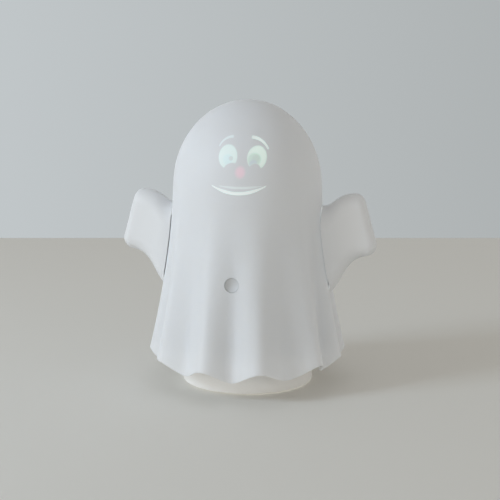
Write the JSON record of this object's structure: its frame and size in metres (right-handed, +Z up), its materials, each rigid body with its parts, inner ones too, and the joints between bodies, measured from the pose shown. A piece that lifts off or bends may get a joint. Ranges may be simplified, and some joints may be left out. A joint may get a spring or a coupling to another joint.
{
  "type": "animated ghost figure",
  "caption": "White draped ghost figure with a face lit from inside, arms that lift, a front push button and a round battery base.",
  "frame": {"origin": "on the table, under the middle of the round base", "axes": "+Z up, the face looks along -Y, the arms reach along +X and -X"},
  "size_m": [0.2282, 0.1713, 0.2499],
  "materials": {
    "sheet_white": "fine matte moulded skin, slightly translucent",
    "arm_white": "fine matte moulded skin",
    "base_white": "matte moulded",
    "button_white": "matte moulded",
    "foot_rubber": "matte",
    "acetal": "smooth",
    "frame_plastic": "moulded",
    "steel": "plated",
    "board_green": "solder mask",
    "chip_black": "moulded",
    "cell_wrap": "printed sleeve",
    "contact_brass": "plated",
    "paper_cone": "pulp",
    "projector_black": "moulded",
    "lens_clear": "polished",
    "panel_glass": "polished",
    "led_yellow": "lens cap",
    "sink_aluminium": "milled"
  },
  "bodies": {
    "body": {"body_shell": "sheet_white", "base_housing": "base_white", "deck": "base_white", "rubber_feet": "foot_rubber", "drive_frame": "frame_plastic", "projector_cradle": "frame_plastic", "gearbox": "frame_plastic", "motor": "steel", "shoulder_pins": "steel", "guide_screws": "steel", "base_screws": "steel", "shell_screws": "steel", "frame_screws": "steel", "cradle_screws": "steel", "board_screws": "steel", "button_screws": "steel", "speaker_magnet": "steel", "speaker_frame": "steel", "main_board": "board_green", "button_board": "board_green", "led_board": "board_green", "board_parts": "chip_black", "tact_switch": "chip_black", "switch_body": "chip_black", "battery_cells": "cell_wrap", "battery_contacts": "contact_brass", "speaker_cone": "paper_cone", "lens_barrel": "projector_black", "projector_case": "projector_black", "projection_lens": "lens_clear", "condenser": "lens_clear", "picture_panel": "panel_glass", "led_emitter": "led_yellow", "heat_sink": "sink_aluminium"},
    "right_arm": {"right_arm": "arm_white", "right_lever": "acetal"},
    "left_arm": {"left_arm": "arm_white", "left_lever": "acetal"},
    "crosshead": {"crosshead": "acetal"},
    "crank": {"crank": "acetal"},
    "button": {"button_cap": "button_white", "switch_plunger": "chip_black"},
    "switch_knob": {"switch_knob": "chip_black"},
    "battery_door": {"battery_door": "base_white", "door_screw": "steel"}
  },
  "joints": [
    {"name": "right_arm_lift", "type": "hinge", "parent": "body", "child": "right_arm", "pos_m": [0.04743, 0.0045, 0.16], "axis": [0, -1, 0], "range_deg": [0, 12]},
    {"name": "left_arm_lift", "type": "hinge", "parent": "body", "child": "left_arm", "pos_m": [-0.04743, 0.0045, 0.16], "axis": [0, 1, 0], "range_deg": [0, 12.05]},
    {"name": "crosshead_slide", "type": "slide", "parent": "body", "child": "crosshead", "axis": [0, 0, -1], "range_m": [0, 0.00375]},
    {"name": "crank_turn", "type": "hinge", "parent": "body", "child": "crank", "pos_m": [0, 0.01, 0.15813], "axis": [0, 1, 0], "range_deg": [0, 180.5]},
    {"name": "button_press", "type": "slide", "parent": "body", "child": "button", "axis": [0, 0.9973, -0.0733], "range_m": [0, 0.0012], "stiffness_N_per_m": 900, "springref_m": -0.0004},
    {"name": "power_switch_slide", "type": "slide", "parent": "body", "child": "switch_knob", "axis": [0, 1, 0], "range_m": [0, 0.004]},
    {"name": "battery_door_open", "type": "hinge", "parent": "body", "child": "battery_door", "pos_m": [0, 0.004, 0.0025], "axis": [1, 0, 0], "range_deg": [0, 100]}
  ],
  "couplings": [
    {"joint": "left_arm_lift", "follows": "right_arm_lift", "ratio": 1},
    {"joint": "crosshead_slide", "follows": "right_arm_lift", "m_per_rad": 0.017869},
    {"joint": "crank_turn", "follows": "right_arm_lift", "ratio": 15}
  ]
}
